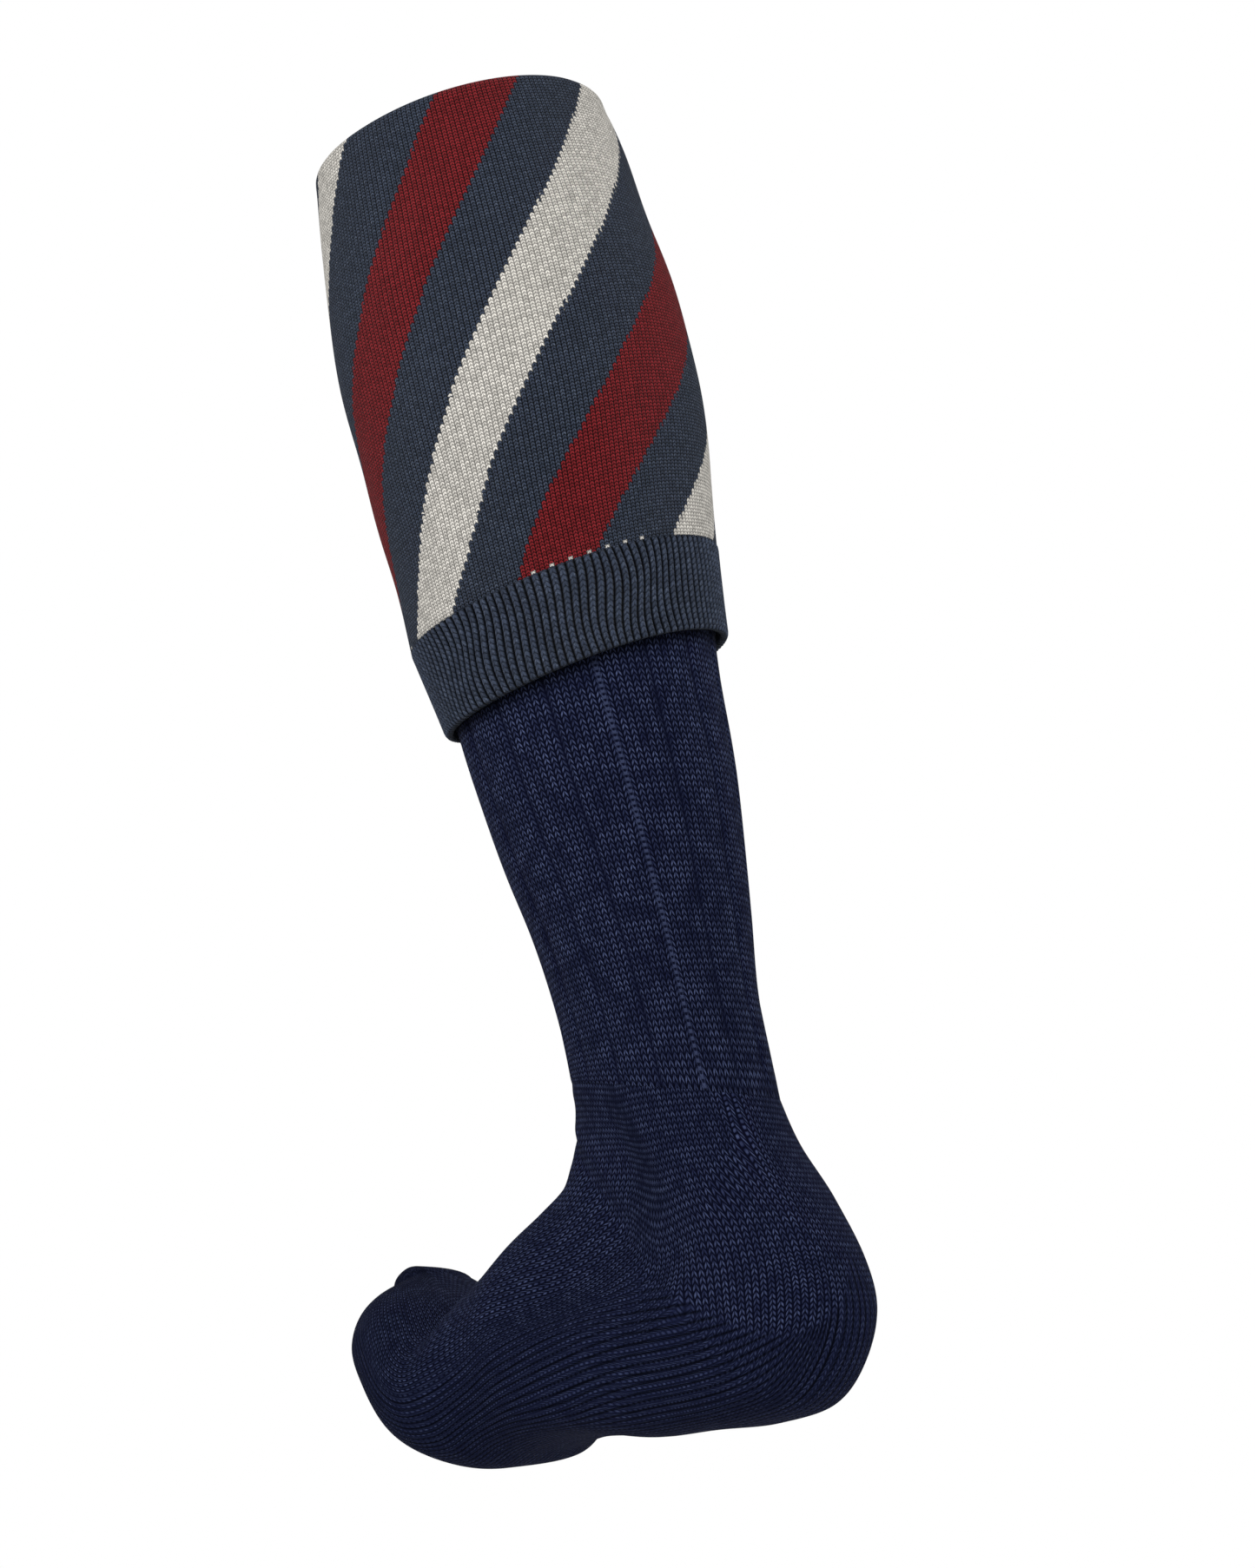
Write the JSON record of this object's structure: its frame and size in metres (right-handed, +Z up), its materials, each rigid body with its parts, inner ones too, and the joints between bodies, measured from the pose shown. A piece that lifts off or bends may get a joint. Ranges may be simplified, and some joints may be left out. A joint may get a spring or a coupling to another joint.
{
  "type": "knee-high sock",
  "caption": "Knee-high knitted sock on its worn form: ribbed navy leg and foot, heel pocket, and a turnover cuff with diagonal stripes and a ribbed welt.",
  "frame": {"origin": "on the inner sole under the ankle, where the foot stands in the sock", "axes": "+Z up the leg, -Y towards the toes, +X to the outer side of a left foot"},
  "size_m": [0.1751, 0.213, 0.4886],
  "materials": {
    "navy_foot_knit": "fuzzy terry wool knit, matte",
    "navy_rib_knit": "ribbed wool knit, matte",
    "striped_cuff_knit": "plain wool knit, heather slate with red and cream diagonal stripes, matte",
    "slate_welt_knit": "fine elastic rib, matte"
  },
  "bodies": {
    "root": {"foot": "navy_foot_knit", "heel": "navy_foot_knit", "leg": "navy_rib_knit", "turnover_cuff": "striped_cuff_knit", "cuff_welt": "slate_welt_knit"}
  },
  "joints": []
}
